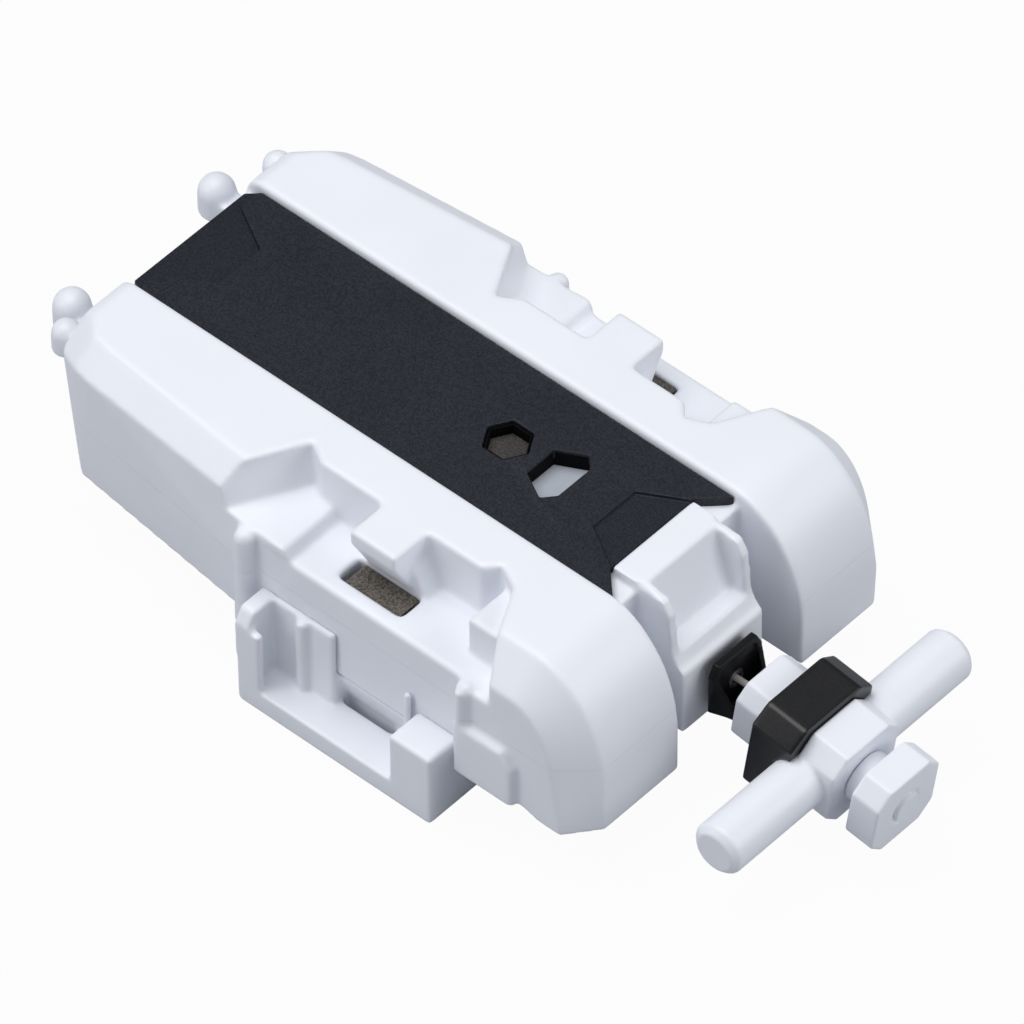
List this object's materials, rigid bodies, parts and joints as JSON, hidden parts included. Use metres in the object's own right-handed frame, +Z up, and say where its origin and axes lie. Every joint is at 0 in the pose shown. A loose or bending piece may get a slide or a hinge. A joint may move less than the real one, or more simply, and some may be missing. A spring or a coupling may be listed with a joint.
{
  "type": "spinning top launcher",
  "caption": "String-pull launcher for spinning tops: winged case with a cover panel, claw well below, side grip rails, spring reel and a T-handle.",
  "frame": {"origin": "on the launch axis, at the underside of the claw hub", "axes": "+X forward towards the string outlet and handle, +Z up through the cover panel, the two flanks are alike about the X-Z plane"},
  "size_m": [0.1443, 0.0756, 0.0345],
  "materials": {
    "case_plastic": "satin white moulding",
    "panel_plastic": "fine textured black",
    "bumper_rubber": "smooth black",
    "clip_plastic": "black, soft sheen",
    "steel": "bright",
    "spring_steel": "blued strip",
    "brass": "turned",
    "plate_metal": "pressed plate",
    "reel_plastic": "orange acetal",
    "dark_plastic": "dark grey acetal",
    "string": "braided cord"
  },
  "bodies": {
    "housing": {"upper_case": "case_plastic", "lower_case": "case_plastic", "hub_base": "case_plastic", "top_panel": "panel_plastic", "string_bumper": "bumper_rubber", "string_tube": "steel", "mechanism_plate": "plate_metal", "reel_post": "steel", "spring_arbor": "dark_plastic", "mainspring": "spring_steel", "lower_bush": "brass", "upper_bush": "brass", "latch_springs": "spring_steel", "case_screws": "steel", "hub_screws": "steel", "plate_screws": "steel", "string_run": "string", "pin_spring": "steel"},
    "handle": {"handle_bar": "case_plastic", "handle_collar": "case_plastic", "handle_clip": "clip_plastic", "handle_cap": "case_plastic", "pull_string": "string"},
    "reel": {"string_reel": "reel_plastic", "spring_cover": "reel_plastic", "wound_string": "string"},
    "claw": {"drive_gear": "plate_metal", "launch_shaft": "steel", "shaft_spacer": "dark_plastic", "pawl_ring": "dark_plastic", "shaft_clip": "steel", "claw_disc": "case_plastic", "claw_hooks": "dark_plastic"},
    "pin": {"sensing_pin": "dark_plastic", "pin_tip": "case_plastic"}
  },
  "joints": [
    {"name": "string_pull", "type": "slide", "parent": "housing", "child": "handle", "axis": [1, 0, 0], "range_m": [0, 0.45], "stiffness_N_per_m": 5, "springref_m": -0.24},
    {"name": "reel_spin", "type": "hinge", "parent": "housing", "child": "reel", "pos_m": [-0.03, 0, 0.0157], "axis": [0, 0, 1], "range_deg": [-1770, 0]},
    {"name": "claw_spin", "type": "hinge", "parent": "housing", "child": "claw", "pos_m": [0, 0, 0.0157], "axis": [0, 0, 1], "range_deg": [0, 4120]},
    {"name": "pin_travel", "type": "slide", "parent": "housing", "child": "pin", "axis": [0, 0, 1], "range_m": [0, 0.002], "stiffness_N_per_m": 150, "springref_m": -0.003, "deforming": ["pin_spring"]}
  ],
  "couplings": [
    {"joint": "reel_spin", "follows": "string_pull", "rad_per_m": -68.027},
    {"joint": "claw_spin", "follows": "string_pull", "rad_per_m": 158.73}
  ]
}
